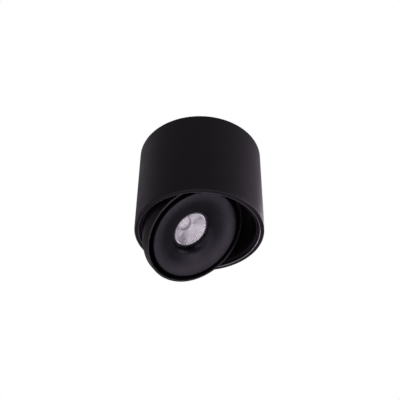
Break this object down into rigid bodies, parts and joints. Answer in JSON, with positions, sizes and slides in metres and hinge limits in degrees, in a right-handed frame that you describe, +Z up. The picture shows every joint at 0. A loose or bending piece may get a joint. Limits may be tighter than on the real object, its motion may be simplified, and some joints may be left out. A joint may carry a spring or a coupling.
{
  "type": "surface mounted ceiling spotlight",
  "caption": "Round black surface mounted ceiling spotlight whose recessed fluted lamp head swivels and tilts out of a cylindrical housing.",
  "frame": {"origin": "centre of the housing's top on the ceiling, on the back face of the ceiling plate", "axes": "+Z up into the ceiling, the light hangs towards -Z; X runs through the two slots of the ceiling plate and the two side screws; the front shown in the picture is -Y"},
  "size_m": [0.12, 0.12, 0.1232],
  "materials": {
    "housing_coat": "matte black powder coat",
    "ring_coat": "matte black powder coat",
    "can_coat": "matte black powder coat",
    "trim_coat": "fine textured black powder coat",
    "zinc_steel": "zinc plated sheet steel",
    "plated_screws": "bright zinc plate",
    "black_screws": "blackened steel",
    "brass_screw": "plain brass",
    "spring_steel": "oiled spring steel",
    "rubber": "moulded black rubber",
    "pad_rubber": "grey blue silicone pad",
    "terminal_plastic": "natural nylon",
    "driver_plastic": "white moulded plastic",
    "glide_plastic": "natural nylon",
    "holder_plastic": "white heat resistant plastic",
    "reflector_bright": "bright anodised, fluted",
    "sink_aluminium": "dark anodised extrusion",
    "phosphor": "silicone phosphor",
    "board_ceramic": "white ceramic board"
  },
  "bodies": {
    "fixture": {"ceiling_plate": "zinc_steel", "cable_grommet": "rubber", "terminal_block": "terminal_plastic", "terminal_screws": "plated_screws", "terminal_fixing_screw": "plated_screws", "earth_screw": "brass_screw", "driver_case": "driver_plastic", "driver_lid": "driver_plastic", "driver_screws": "plated_screws", "housing": "housing_coat", "side_screws": "black_screws", "glide_ring": "glide_plastic", "disc_spring": "spring_steel", "circlip": "spring_steel"},
    "turret": {"swivel_ring": "ring_coat", "guide_screws": "plated_screws", "guide_nuts": "plated_screws", "friction_washers": "glide_plastic"},
    "head": {"head_can": "can_coat", "trim_ring": "trim_coat", "trim_screws": "plated_screws", "reflector": "reflector_bright", "led_emitter": "phosphor", "led_board": "board_ceramic", "thermal_pad": "pad_rubber", "led_holder": "holder_plastic", "holder_screws": "plated_screws", "heatsink": "sink_aluminium", "heatsink_screws": "plated_screws", "lead_grommet": "rubber"}
  },
  "joints": [
    {"name": "swivel", "type": "hinge", "parent": "fixture", "child": "turret", "pos_m": [0, 0, -0.0865], "axis": [0, 0, 1], "range_deg": [-175, 175]},
    {"name": "tilt", "type": "hinge", "parent": "turret", "child": "head", "pos_m": [0, 0, -0.099], "axis": [-0.503, -0.8643, 0], "range_deg": [-35, 0]}
  ]
}
